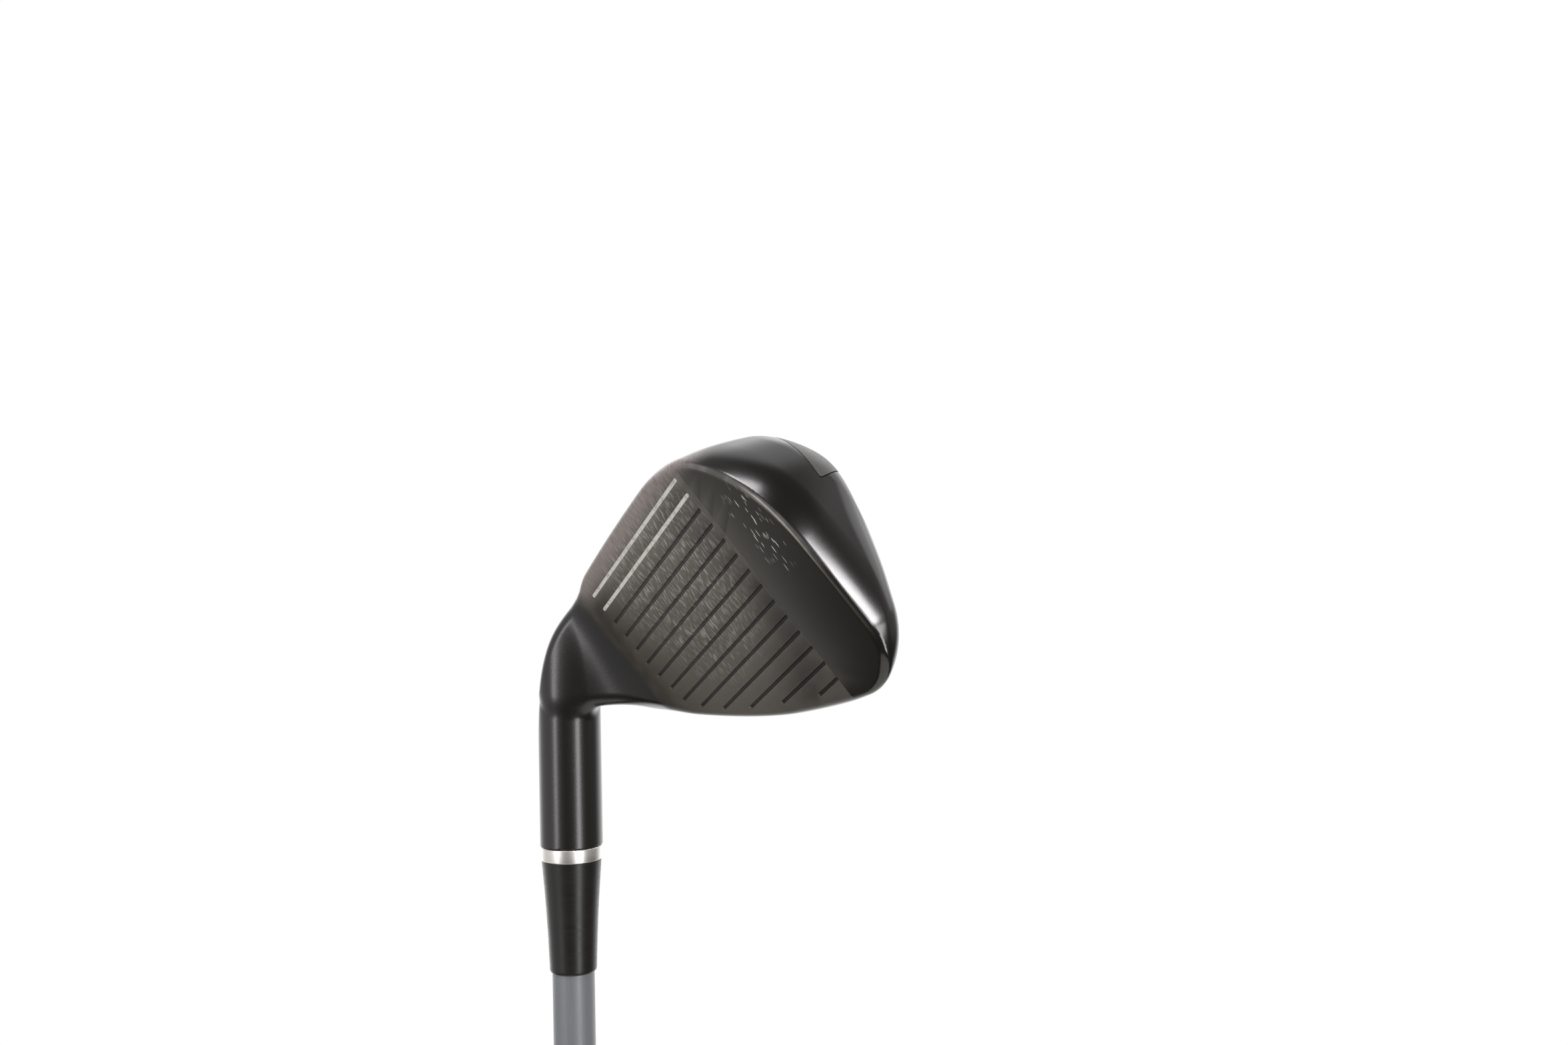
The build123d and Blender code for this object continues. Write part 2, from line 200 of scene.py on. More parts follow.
def perimeter(u, v, n):
    """Distance outside the topline, toe, sole and heel."""
    top = (v - topline(u)) / np.sqrt(1.0 + topline_slope(u) ** 2)
    swell = np.minimum((n - TOE_BELLY_N) / TOE_BELLY_N, 0.0) ** 2
    lean = TOE_LEAN * np.maximum(v - TOE_LEAN_FROM_V, 0.0) ** 2
    toe_edge = FACE_LENGTH_U + TOE_BELLY * (1.0 - swell) - lean
    under_toe = np.maximum(UNDER_TOE_R - UNDER_TOE_SHRINK * np.maximum(n, 0.0), UNDER_TOE_MIN_R)
    under_toe = under_toe * ramp(*UNDER_TOE_U, u) + SOLE_HEEL_R * ramp(*UNDER_TOE_U[::-1], u)
    shape = rounded_max(top, (u - toe_edge) / TOE_STRETCH, TOE_CORNER_R)
    shape = rounded_max(shape, sole(u, v, n), under_toe)
    shape = rounded_max(shape, heel(u, v, n), HEEL_JOIN_R)
    return rounded_max(shape, shaft_line(u, v, n)[0] - WEB_TOP, WEB_TOP_R)


def back(u, v, n):
    """Distance behind the sloping back and the upright rear."""
    steepness = BACK_SLOPE * BACK_SLOPE * (1.0 + topline_slope(u) ** 2)
    drop = soft_min(topline(u), BACK_START_V, BACK_START_BLEND) - v
    sloping = (n - TOPLINE_DEPTH - BACK_SLOPE * drop) / np.sqrt(1.0 + steepness)
    heelward = np.maximum(REAR_FROM_U - u, 0.0)
    narrowing = 2.0 * REAR_NARROWING * heelward
    upright = (n - REAR_N + REAR_NARROWING * heelward ** 2) / np.sqrt(1.0 + narrowing ** 2)
    return rounded_max(sloping, upright, REAR_CORNER_R)


def neck_radius(v):
    """Radius of the fillet that turns the face plane into the hosel, starting at the crease."""
    past = v - CREASE_BEND_V
    crease_u = CREASE_U + CREASE_LEAN * (past + np.sqrt(past * past + CREASE_BEND_SIZE ** 2)) / 2.0
    return np.maximum(shaft_line(crease_u, v, 0.0)[1] - HOSEL_R, NECK_MIN_R)


def blade(u, v, n):
    """Distance outside the blade without its face, and the radius of its front edge."""
    at_toe = REAR_EDGE_HIGH_R + (REAR_EDGE_LOW_R - REAR_EDGE_HIGH_R) * ramp(*REAR_EDGE_V, v)
    rear_edge = REAR_EDGE_R + (at_toe - REAR_EDGE_R) * ramp(*REAR_EDGE_U, u)
    rear_edge = rear_edge + REAR_EDGE_SOLE_R * ramp(*REAR_EDGE_SOLE_V, v)
    rear_edge = rear_edge + HEEL_REAR_R * ramp(*HEEL_REAR_U, u)
    crest = CREST_R + LEADING_EDGE_R * ramp(*LEADING_EDGE_V, v) + HEEL_CREST_R * ramp(*HEEL_CREST_U, u)
    crest = crest + TOPLINE_CREST_R * ramp(*TOPLINE_CREST_BELOW, v - topline(u))
    return rounded_max(perimeter(u, v, n), back(u, v, n), rear_edge), crest


def head(u, v, n):
    """Distance field of the whole head, negative inside."""
    down, reach = shaft_line(u, v, n)
    front = rounded_min(-n, reach - HOSEL_R, neck_radius(v))
    body, crest = blade(u, v, n)
    hosel = rounded_max(reach - HOSEL_R, heel(u, v, n), HOSEL_FOOT_R)
    fillet = HOSEL_FILLET_R + HOSEL_FILLET_GROWTH * ramp(*HOSEL_FILLET_SIDE, heel_side(u, v))
    joined = rounded_min(rounded_max(body, front, crest), hosel, fillet)
    return rounded_max(joined, down - HOSEL_LENGTH, HOSEL_EDGE_R)


def head_gradient(points, step=0.01):
    """Unit outward directions of the head's surface at points given in u, v, n."""
    slopes = []
    for axis in np.eye(3) * step:
        slopes.append(head(*(points + axis).T) - head(*(points - axis).T))
    slopes = np.stack(slopes, axis=1)
    return slopes / np.maximum(np.linalg.norm(slopes, axis=1, keepdims=True), 1e-9)


def to_scene(points):
    """Points in u, v, n millimetres to scene metres."""
    return (np.asarray(points) @ HEAD_AXES + FACE_ORIGIN) * MM


# ---- mesh helpers -------------------------------------------------------------------------------


def mesh_object(name, points, faces):
    mesh = bpy.data.meshes.new(name)
    mesh.from_pydata(np.asarray(points).tolist(), [], [list(map(int, face)) for face in faces])
    mesh.update()
    piece = bpy.data.objects.new(name, mesh)
    bpy.context.scene.collection.objects.link(piece)
    return piece


def boolean(piece, cutter, operation):
    """Cuts piece with cutter for good, and removes the cutter."""
    modifier = piece.modifiers.new("cut", "BOOLEAN")
    modifier.operation = operation
    modifier.object = cutter
    modifier.solver = "EXACT"
    shapes = bpy.context.evaluated_depsgraph_get()
    result = bpy.data.meshes.new_from_object(piece.evaluated_get(shapes))
    piece.modifiers.clear()
    piece.data = result
    result.name = piece.name
    bpy.data.objects.remove(cutter)


def prism(name, loops):
    """Closed solid through a stack of loops that have the same number of points, in u, v, n."""
    count = len(loops[0])
    points = np.concatenate([to_scene(loop) for loop in loops])
    faces = [list(range(count))[::-1]]
    for level in range(len(loops) - 1):
        low = level * count
        for k in range(count):
            after = (k + 1) % count
            faces.append((low + k, low + after, low + count + after, low + count + k))
    last = (len(loops) - 1) * count
    faces.append(list(range(last, last + count)))
    return mesh_object(name, points, faces)


def facing_out(piece):
    work = bmesh.new()
    work.from_mesh(piece.data)
    bmesh.ops.recalc_face_normals(work, faces=work.faces)
    work.to_mesh(piece.data)
    work.free()


def shade_by_angle(piece, degrees):
    piece.data.shade_smooth()
    piece.data.set_sharp_from_angle(angle=radians(degrees))


def shade_like_head(piece):
    """Exact normals where the surface is the head's own skin, and flat ones where it was cut."""
    mesh = piece.data
    mesh.shade_smooth()
    count = len(mesh.polygons)
    centres = np.empty(count * 3)
    mesh.polygons.foreach_get("center", centres)
    flats = np.empty(count * 3)
    mesh.polygons.foreach_get("normal", flats)
    totals = np.empty(count, np.int32)
    mesh.polygons.foreach_get("loop_total", totals)
    corners = np.empty(len(mesh.loops), np.int32)
    mesh.loops.foreach_get("vertex_index", corners)
    places = np.empty(len(mesh.vertices) * 3)
    mesh.vertices.foreach_get("co", places)
    centres_in_head = (centres.reshape(-1, 3) / MM - FACE_ORIGIN) @ HEAD_AXES.T
    places_in_head = (places.reshape(-1, 3) / MM - FACE_ORIGIN) @ HEAD_AXES.T
    on_skin = np.abs(head(*centres_in_head.T)) < SKIN_TOLERANCE
    skin = head_gradient(places_in_head) @ HEAD_AXES
    owner = np.repeat(np.arange(count), totals)
    normals = np.where(on_skin[owner][:, None], skin[corners], flats.reshape(-1, 3)[owner])
    mesh.normals_split_custom_set(normals.tolist())


# ---- head skin ----------------------------------------------------------------------------------

VOXEL = 0.42
SKIN_TOLERANCE = 0.05
HEAD_LOW = np.array([-52.0, -13.0, -33.0])
HEAD_HIGH = np.array([75.0, 60.0, 26.0])


def head_field():
    """Grid of the head's distance field."""
    axes = [np.arange(low, high, VOXEL) for low, high in zip(HEAD_LOW, HEAD_HIGH)]
    slabs = []
    for u in axes[0]:
        v, n = np.meshgrid(axes[1], axes[2], indexing="ij")
        slabs.append(head(np.full_like(v, u), v, n).astype(np.float32))
    field = openvdb.FloatGrid()
    field.copyFromArray(np.stack(slabs))
    return field


def head_skin(field, depth=0.0):
    """Closed mesh of the surface at a depth inside the head, each vertex settled on it exactly."""
    points, quads = field.convertToQuads(isovalue=-depth)
    points = points.astype(np.float64) * VOXEL + HEAD_LOW
    for _ in range(3):
        points = points - head_gradient(points) * (head(*points.T) + depth)[:, None]
    return points, quads


# ---- cuts in the head ---------------------------------------------------------------------------

PLATE_INSET = 0.1          # width of the body's flat rim round the face plate
PLATE_DEPTH = 2.3
PLATE_CENTRE = (30.0, 22.0)
PLATE_REACH = 60.0         # no point of the outline is further from the centre
PLATE_CORNER_R = 0.8
PLATE_OUTLINE_POINTS = 240
HALVINGS = 30
CREASE_MARGIN = 0.4


def plate_field(u, v):
    """Below zero inside the face plate's outline, which keeps clear of every rounded edge."""
    body, crest = blade(u, v, np.zeros_like(u))
    reach = shaft_line(u, v, 0.0)[1]
    crease = neck_radius(v) + HOSEL_R - reach + CREASE_MARGIN
    return rounded_max(body + crest + PLATE_INSET, crease, PLATE_CORNER_R)


def plate_outline():
    """Outline found by halving steps outward from the plate's middle."""
    angles = np.arange(PLATE_OUTLINE_POINTS) * 2.0 * pi / PLATE_OUTLINE_POINTS
    low = np.zeros_like(angles)
    high = np.full_like(angles, PLATE_REACH)
    for _ in range(HALVINGS):
        middle = (low + high) / 2.0
        inside = plate_field(PLATE_CENTRE[0] + middle * np.cos(angles),
                             PLATE_CENTRE[1] + middle * np.sin(angles)) < 0.0
        low = np.where(inside, middle, low)
        high = np.where(inside, high, middle)
    return [(PLATE_CENTRE[0] + reach * cos(angle), PLATE_CENTRE[1] + reach * sin(angle))
            for reach, angle in zip(low, angles)]


def plate_cutter():
    """Block that opens the body for the face plate."""
    outline = plate_outline()
    block = prism("opening_cutter", [[(u, v, n) for u, v in outline] for n in (PLATE_DEPTH, -1.0)])
    facing_out(block)
    return block


CAP_TOP_V = 18.4
CAP_TOP_N = 12.0
CAP_LEAN = 0.27
CAP_RISE = 0.12
CAP_HEEL_U = 6.0
CAP_GAP = 0.22
CAP_CORNER_R = 0.7
CAP_PAST_SOLE_V = -30.0    # the cutting wedge runs on past the head to here
CAP_PAST_REAR_N = 60.0
CAP_PAST_TOE_U = 110.0


def cap_zone(name, grow):
    """Wedge behind the cap's front edge and below its top edge, with a rounded corner."""
    front = np.array([-1.0, CAP_LEAN]) / sqrt(1.0 + CAP_LEAN ** 2)
    top = np.array([CAP_RISE, 1.0]) / sqrt(1.0 + CAP_RISE ** 2)
    corner = np.array([CAP_TOP_V + grow, CAP_TOP_N - grow])
    start = corner + front * CAP_CORNER_R
    end = corner + top * CAP_CORNER_R
    profile = []
    for share in np.linspace(0.0, 1.0, 7):
        profile.append(start * (1 - share) ** 2 + corner * 2 * share * (1 - share) + end * share ** 2)
    top_v = corner[0] + CAP_RISE * (CAP_PAST_REAR_N - CAP_TOP_N)
    front_n = corner[1] + CAP_LEAN * (CAP_TOP_V - CAP_PAST_SOLE_V)
    profile += [(top_v, CAP_PAST_REAR_N), (CAP_PAST_SOLE_V, CAP_PAST_REAR_N), (CAP_PAST_SOLE_V, front_n)]
    ends = (CAP_HEEL_U - grow, CAP_PAST_TOE_U)
    zone = prism(name, [[(u, v, n) for v, n in profile] for u in ends])
    facing_out(zone)
    return zone


BOND_DEPTH = 0.8           # the glue line starts this far below the skin
BOND_WIDTH = 3.2
BOND_THICKNESS = 0.14


def cap_bond(field):
    """Glue line in the gap between the cap and the body, all round the cap's edge."""
    skins = []
    for name, depth in (("cap_bond", BOND_DEPTH), ("bond_core", BOND_DEPTH + BOND_WIDTH)):
        points, quads = head_skin(field, depth)
        skins.append(mesh_object(name, to_scene(points), quads))
        facing_out(skins[-1])
    bond, core = skins
    boolean(bond, cap_zone("bond_outside", BOND_THICKNESS / 2), "INTERSECT")
    boolean(bond, cap_zone("bond_inside", -BOND_THICKNESS / 2), "DIFFERENCE")
    boolean(bond, core, "DIFFERENCE")
    shade_by_angle(bond, 30)
    return bond


LINE_COUNT = 14
LINE_PITCH = 3.7
LINE_LENGTH = 51.0
LINE_HALF = 0.4
LINE_FLOOR_HALF = 0.18
LINE_DEPTH = 0.45
LINE_LIP = 0.12            # rounded edge of a scoreline
LINE_FLOOR_CORNER = (0.03, 0.05)  # widening and height of the corner above its floor
LINE_FLOOR_FLAT = 0.7      # flat share of its floor
LINE_STEP = 0.25
TOPLINE_MARGIN = 3.4
LINE_EDGE_ROOM = 0.85
PAINTED_LINES = 2
PAINT_LEVEL = 0.07         # the paint lies this far below the face
PAINT_HOLLOW = 0.05


def line_start(height):
    """Heel end of a scoreline, clear of the topline and of the plate's edge."""
    start = 0.0
    while topline(start) - TOPLINE_MARGIN < height or plate_field(start, height) > -LINE_EDGE_ROOM:
        start += LINE_STEP
    return start


def pill(start, end, height, half, depth, steps=6):
    """Loop of a scoreline at one depth: two straight sides and two round ends."""
    loop = []
    for centre, turn in ((end - LINE_HALF, -pi / 2), (start + LINE_HALF, pi / 2)):
        for k in range(steps + 1):
            angle = turn + pi * k / steps
            loop.append((centre + half * cos(angle), height + half * sin(angle), depth))
    return loop


def line_levels():
    """Half width and depth of a scoreline from its rounded lip to its floor."""
    levels = []
    for k in range(5):
        angle = k * pi / 8
        levels.append((LINE_HALF + LINE_LIP * (1 - sin(angle)), LINE_LIP * (1 - cos(angle))))
    widening, height = LINE_FLOOR_CORNER
    levels.append((LINE_FLOOR_HALF + widening, LINE_DEPTH - height))
    levels.append((LINE_FLOOR_HALF * LINE_FLOOR_FLAT, LINE_DEPTH))
    return levels


def fill_between(work, loops):
    """Fills the flat face inside the first loop and outside the others. Each loop is a pair of
    its vertices and their places in the plane."""
    vertices, places, edges, owners = [], [], [], []
    for owner, (ring, spots) in enumerate(loops):
        first = len(vertices)
        for k, vertex in enumerate(ring):
            edges.append((first + k, first + (k + 1) % len(ring)))
            vertices.append(vertex)
            places.append(Vector(spots[k]))
            owners.append(owner)
    filled = delaunay_2d_cdt(places, edges, [], 1, 1e-6)
    for triangle in filled[2]:
        corners = [filled[3][corner][0] for corner in triangle]
        touched = {owners[corner] for corner in corners}
        if touched == {0} or len(touched) > 1:
            work.faces.new([vertices[corner] for corner in corners])


def face_plate():
    """Plate with its scorelines milled in."""
    work = bmesh.new()

    def ring(points):
        return [work.verts.new(to_scene(point)) for point in points]

    def wall(upper, lower):
        count = len(upper)
        for k in range(count):
            after = (k + 1) % count
            work.faces.new((upper[k], upper[after], lower[after], lower[k]))

    outline = plate_outline()
    front = ring([(u, v, 0.0) for u, v in outline])
    rear = ring([(u, v, PLATE_DEPTH) for u, v in outline])
    wall(front, rear)
    work.faces.new(rear)
    loops = [(front, outline)]
    for index in range(LINE_COUNT):
        height = index * LINE_PITCH
        start = line_start(height)
        levels = [pill(start, LINE_LENGTH, height, half, depth) for half, depth in line_levels()]
        rings = [ring(level) for level in levels]
        for upper, lower in zip(rings, rings[1:]):
            wall(upper, lower)
        work.faces.new(rings[-1])
        loops.append((rings[0], [(u, v) for u, v, depth in levels[0]]))
    fill_between(work, loops)
    bmesh.ops.recalc_face_normals(work, faces=work.faces)
    mesh = bpy.data.meshes.new("face_insert")
    work.to_mesh(mesh)
    work.free()
    plate = bpy.data.objects.new("face_insert", mesh)
    bpy.context.scene.collection.objects.link(plate)
    shade_by_angle(plate, 30)
    return plate


def line_paint(name, index):
    """Paint in a scoreline, with a slightly hollow top."""
    height = index * LINE_PITCH
    half_at_top = LINE_HALF - 0.01
    levels = [(0.02, PAINT_LEVEL + PAINT_HOLLOW), (0.6 * half_at_top, PAINT_LEVEL + 0.8 * PAINT_HOLLOW),
              (half_at_top, PAINT_LEVEL), (LINE_FLOOR_HALF, LINE_DEPTH - 0.03)]
    loops = [pill(0.0, LINE_LENGTH, height, half, depth) for half, depth in levels]
    paint = prism(name, loops[::-1])
    facing_out(paint)
    shade_by_angle(paint, 40)
    return paint


# ---- turned pieces ------------------------------------------------------------------------------


TURNED_SEGMENTS = 128


def lathe(name, profile, segments=TURNED_SEGMENTS):
    """Solid turned round the shaft's axis from a closed profile of (radius, z) in millimetres."""
    profile = np.asarray(profile, float)
    turns = np.arange(segments) * 2.0 * pi / segments
    rings = [np.stack([r * np.cos(turns), r * np.sin(turns), np.full(segments, z)], axis=1)
             for r, z in profile]
    faces = []
    rows = len(profile)
    for row in range(rows):
        low = row * segments
        high = ((row + 1) % rows) * segments
        for k in range(segments):
            after = (k + 1) % segments
            faces.append((low + k, low + after, high + after, high + k))
    piece = mesh_object(name, np.concatenate(rings) * MM, faces)
    facing_out(piece)
    return piece


def arc(centre, radius, start, end, steps):
    """Points of an arc in the (radius, z) plane, angles in degrees."""
    points = []
    for k in range(steps + 1):
        angle = radians(start + (end - start) * k / steps)
        points.append((centre[0] + radius * cos(angle), centre[1] + radius * sin(angle)))
    return points


def outer_radius(node):
    """Largest radius of a turned CAD node, in millimetres."""
    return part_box(node)[1][0] / MM


def height_range(node):
    low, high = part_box(node)
    return low[2] / MM, high[2] / MM


SHAFT_TIP_R = 4.70
SHAFT_BUTT_R = outer_radius("shaft")
SHAFT_LOW, SHAFT_HIGH = height_range("shaft")
SHAFT_TIP_WALL = 1.55
SHAFT_BUTT_WALL = 0.95
SHAFT_CHAMFER = 0.3
SHAFT_ROWS = 150
TIP_PARALLEL = 210.0
BUTT_PARALLEL = 230.0


def shaft_radius(z):
    taper_from = SHAFT_LOW + BUTT_PARALLEL
    taper_to = SHAFT_HIGH - TIP_PARALLEL
    share = min(1.0, max(0.0, (z - taper_from) / (taper_to - taper_from)))
    return SHAFT_BUTT_R + share * (SHAFT_TIP_R - SHAFT_BUTT_R)


def make_shaft():
    heights = np.linspace(SHAFT_LOW + 0.4, SHAFT_HIGH - 0.4, SHAFT_ROWS)
    outside = [(SHAFT_BUTT_R - SHAFT_CHAMFER, SHAFT_LOW)] + [(shaft_radius(z), z) for z in heights]
    outside.append((SHAFT_TIP_R - SHAFT_CHAMFER, SHAFT_HIGH))
    tip_bore = SHAFT_TIP_R - SHAFT_TIP_WALL
    butt_bore = SHAFT_BUTT_R - SHAFT_BUTT_WALL
    bore = [(tip_bore, SHAFT_HIGH), (tip_bore, SHAFT_HIGH - TIP_PARALLEL),
            (butt_bore, SHAFT_LOW + BUTT_PARALLEL), (butt_bore, SHAFT_LOW)]
    piece = lathe("shaft_tube", outside + bore)
    shade_by_angle(piece, 30)
    return piece


RING_EDGE_R = 0.18


def make_ring():
    """Ring with all four of its edges rounded."""
    low, high = height_range("ferrule_ring")
    radius = outer_radius("ferrule_ring")
    edge = RING_EDGE_R
    bore = SHAFT_TIP_R + 0.05
    profile = [(bore, low + edge)] + arc((bore + edge, low + edge), edge, 180, 270, 4)
    profile += arc((radius - edge, low + edge), edge, 270, 360, 6)
    profile += arc((radius - edge, high - edge), edge, 0, 90, 6)
    profile += arc((bore + edge, high - edge), edge, 90, 180, 4)
    piece = lathe("trim_ring", profile[1:])
    shade_by_angle(piece, 50)
    return piece


FERRULE_LIP_R = 0.7
FERRULE_TOP_R = 0.15
FERRULE_TAPER = 1.45       # how much narrower it is at the shaft than at the ring
FERRULE_BOW = 0.18


def make_ferrule():
    """Turned collar, slightly bowed, with a rounded lip at the shaft."""
    low, high = height_range("ferrule")
    wide = outer_radius("ferrule")
    narrow = wide - FERRULE_TAPER
    bore = SHAFT_TIP_R + 0.03
    length = high - low - FERRULE_LIP_R
    profile = arc((narrow - FERRULE_LIP_R, low + FERRULE_LIP_R), FERRULE_LIP_R, -78, 0, 8)
    for share in np.linspace(0.03, 0.985, 40):
        z = low + FERRULE_LIP_R + share * length
        bow = FERRULE_BOW * sin(pi * share)
        profile.append((narrow + (wide - narrow) * share - bow, z))
    profile += arc((wide - FERRULE_TOP_R, high - FERRULE_TOP_R), FERRULE_TOP_R, 0, 90, 4)
    profile += [(bore, high), (bore, low + 0.02)]
    piece = lathe("ferrule_collar", profile)
    shade_by_angle(piece, 40)
    return piece


GRIP_HIGH = height_range("grip")[1]
GRIP_CAP_R = outer_radius("grip")
GRIP_BUTT_R = 12.0
GRIP_MOUTH_R = 8.9
GRIP_CAP_BAND = 9.0
GRIP_CAP_LIP_R = 2.2
GRIP_CAP_FLARE = 0.93      # share of the cap's extra width that the quick taper starts from
GRIP_TAPER_FROM = 30.0
GRIP_PATTERN_DEPTH = 0.38
GRIP_DIAMONDS = 12         # helical grooves in each direction
GRIP_GROOVE_HALF = 0.55
GRIP_MEAN_R = 10.5
GRIP_PITCH = 62.0          # height that a helix climbs in one turn
GRIP_BANDS = (91.0, 181.0)  # middles of the two dimpled bands
GRIP_BAND_HALF = 5.0
GRIP_LINES = [13.0, GRIP_HIGH - 8.5] + [band + side for band in GRIP_BANDS for side in (-6.0, 6.0)]
GRIP_PATTERN_START = (16, 19)
GRIP_PATTERN_END = (GRIP_HIGH - 12, GRIP_HIGH - 15)
DIMPLES_AROUND = 40
DIMPLE_PITCH = 2.4
VENT_R = 1.6
BUTT_WALL = 5.0
BUTT_RINGS = [(5.2, 0.0), (5.5, 0.35), (6.3, 0.35), (6.6, 0.0), (9.8, 0.0)]  # groove in the butt's end


def grip_radius(z):
    """Outside of the plain grip: rounded cap, quick taper, slow taper to the mouth."""
    lip = GRIP_CAP_LIP_R
    if z < lip:
        return GRIP_CAP_R - lip + sqrt(max(0.0, lip * lip - (lip - z) ** 2))
    if z < GRIP_CAP_BAND:
        return GRIP_CAP_R
    share = (z - GRIP_TAPER_FROM) / (GRIP_HIGH - GRIP_TAPER_FROM)
    slow = GRIP_BUTT_R + (GRIP_MOUTH_R - GRIP_BUTT_R) * share
    cap = 1.0 - float(ramp(GRIP_CAP_BAND, GRIP_TAPER_FROM, z))
    return slow + (GRIP_CAP_R - GRIP_BUTT_R) * cap * GRIP_CAP_FLARE


def groove(phase, half_width, pitch):
    """Depth share of a soft groove that repeats each pitch, 1 in its middle."""
    offset = np.abs((phase + 0.5) % 1.0 - 0.5) * pitch
    return 1.0 - ramp(half_width * 0.45, half_width, offset)


def grip_relief(turn, z):
    """Depth of the moulded pattern at a place on the grip, in millimetres."""
    climb = z / GRIP_PITCH
    spacing = 2.0 * pi * GRIP_MEAN_R / GRIP_DIAMONDS
    right = groove((turn - climb) * GRIP_DIAMONDS, GRIP_GROOVE_HALF, spacing)
    left = groove((turn + climb) * GRIP_DIAMONDS, GRIP_GROOVE_HALF, spacing)
    diamonds = np.maximum(right, left) * ramp(*GRIP_PATTERN_START, z) * ramp(*GRIP_PATTERN_END, z)
    outer, inner = GRIP_BAND_HALF, GRIP_BAND_HALF - 2.0
    band = sum(ramp(middle - outer, middle - inner, z) * ramp(middle + outer, middle + inner, z)
               for middle in GRIP_BANDS)
    lines = sum(1.0 - ramp(0.35, 0.75, np.abs(z - height)) for height in GRIP_LINES)
    dimples = groove(turn * DIMPLES_AROUND, 0.5, 1.65)
    dimples = dimples * groove((z - GRIP_BANDS[0]) / DIMPLE_PITCH, 0.6, DIMPLE_PITCH) * band
    plain = np.minimum(band * 1.4, 1.0)
    return GRIP_PATTERN_DEPTH * (diamonds * (1.0 - plain) + lines + dimples)


def make_grip():
    around = 216
    rows = 420
    heights = np.concatenate([np.linspace(0.0, GRIP_CAP_BAND, 28)[:-1],
                              np.linspace(GRIP_CAP_BAND, GRIP_HIGH, rows)])
    profile = [(VENT_R, BUTT_WALL), (VENT_R, 0.35), (VENT_R + 0.3, 0.0)] + BUTT_RINGS
    outside_start = len(profile)
    profile += [(grip_radius(z), z) for z in heights]
    outside_end = len(profile)
    profile.append((GRIP_MOUTH_R - 0.4, GRIP_HIGH))
    profile += [(shaft_radius(z) + 0.2, z) for z in (GRIP_HIGH, SHAFT_LOW + BUTT_PARALLEL, SHAFT_LOW)]
    piece = lathe("grip_sleeve", profile, around)
    count = len(piece.data.vertices)
    places = np.empty(count * 3)
    piece.data.vertices.foreach_get("co", places)
    places = places.reshape(-1, 3)
    outside = np.zeros(count, bool)
    outside[outside_start * around:outside_end * around] = True
    reach = np.hypot(places[:, 0], places[:, 1])
    turn = np.arctan2(places[:, 1], places[:, 0]) / (2.0 * pi)
    relief = grip_relief(turn, places[:, 2] / MM) * MM
    share = np.where(outside, (reach - relief) / reach, 1.0)
    places[:, :2] *= share[:, None]
    piece.data.vertices.foreach_set("co", places.ravel())
    piece.data.update()
    shade_by_angle(piece, 35)
    return piece


# ---- material helpers ---------------------------------------------------------------------------


def add(tree, kind, inputs=None, **settings):
    """New shader node. Inputs that are sockets are linked, and the others are set."""
    node = tree.nodes.new(kind)
    for key, value in settings.items():
        setattr(node, key, value)
    for key, value in (inputs or {}).items():
        if isinstance(value, bpy.types.NodeSocket):
            tree.links.new(value, node.inputs[key])
        else:
            node.inputs[key].default_value = value
    return node


def maths(tree, operation, a, b=0.0, clamp=False):
    return add(tree, "ShaderNodeMath", {0: a, 1: b}, operation=operation, use_clamp=clamp).outputs[0]


def product(tree, first, *others):
    for other in others:
        first = maths(tree, "MULTIPLY", first, other)
    return first


def dot(tree, place, direction):
    inputs = {0: place, 1: tuple(direction)}
    return add(tree, "ShaderNodeVectorMath", inputs, operation="DOT_PRODUCT").outputs["Value"]


def scaled(tree, place, factors):
    return add(tree, "ShaderNodeVectorMath", {0: place, 1: factors}, operation="MULTIPLY").outputs[0]


def smooth(tree, value, low, high, to_low=0.0, to_high=1.0):
    inputs = {"Value": value, "From Min": low, "From Max": high, "To Min": to_low, "To Max": to_high}
    return add(tree, "ShaderNodeMapRange", inputs, interpolation_type="SMOOTHSTEP").outputs[0]


def blend_colour(tree, share, first, second):
    node = add(tree, "ShaderNodeMix", data_type="RGBA")
    for key, value in ((0, share), (6, first), (7, second)):
        if isinstance(value, bpy.types.NodeSocket):
            tree.links.new(value, node.inputs[key])
        else:
            node.inputs[key].default_value = value
    return node.outputs[2]


def vector(tree, x, y, z):
    return add(tree, "ShaderNodeCombineXYZ", {0: x, 1: y, 2: z}).outputs[0]


def noise(tree, place, scale, detail=2.0, roughness=0.5):
    inputs = {"Vector": place, "Scale": scale, "Detail": detail, "Roughness": roughness}
    return add(tree, "ShaderNodeTexNoise", inputs).outputs[0]


def grey(level, warm=0.0):
    return (level * (1 + warm), level, level * (1 - warm), 1.0)


def new_material(name):
    material = bpy.data.materials.new(name)
    material.use_nodes = True
    tree = material.node_tree
    shader = tree.nodes["Principled BSDF"]
    return material, tree, shader


def object_place(tree):
    return add(tree, "ShaderNodeTexCoord").outputs["Object"]


def head_place(tree):
    """The u, v and n of a surface point, in millimetres."""
    metres = object_place(tree)
    inputs = {0: metres, 1: tuple(FACE_ORIGIN * MM)}
    away = add(tree, "ShaderNodeVectorMath", inputs, operation="SUBTRACT").outputs[0]
    return [maths(tree, "MULTIPLY", dot(tree, away, axis), 1.0 / MM) for axis in HEAD_AXES]


def set_colour(tree, shader, value):
    tree.links.new(value, shader.inputs["Base Color"])


def set_roughness(tree, shader, value):
    tree.links.new(value, shader.inputs["Roughness"])


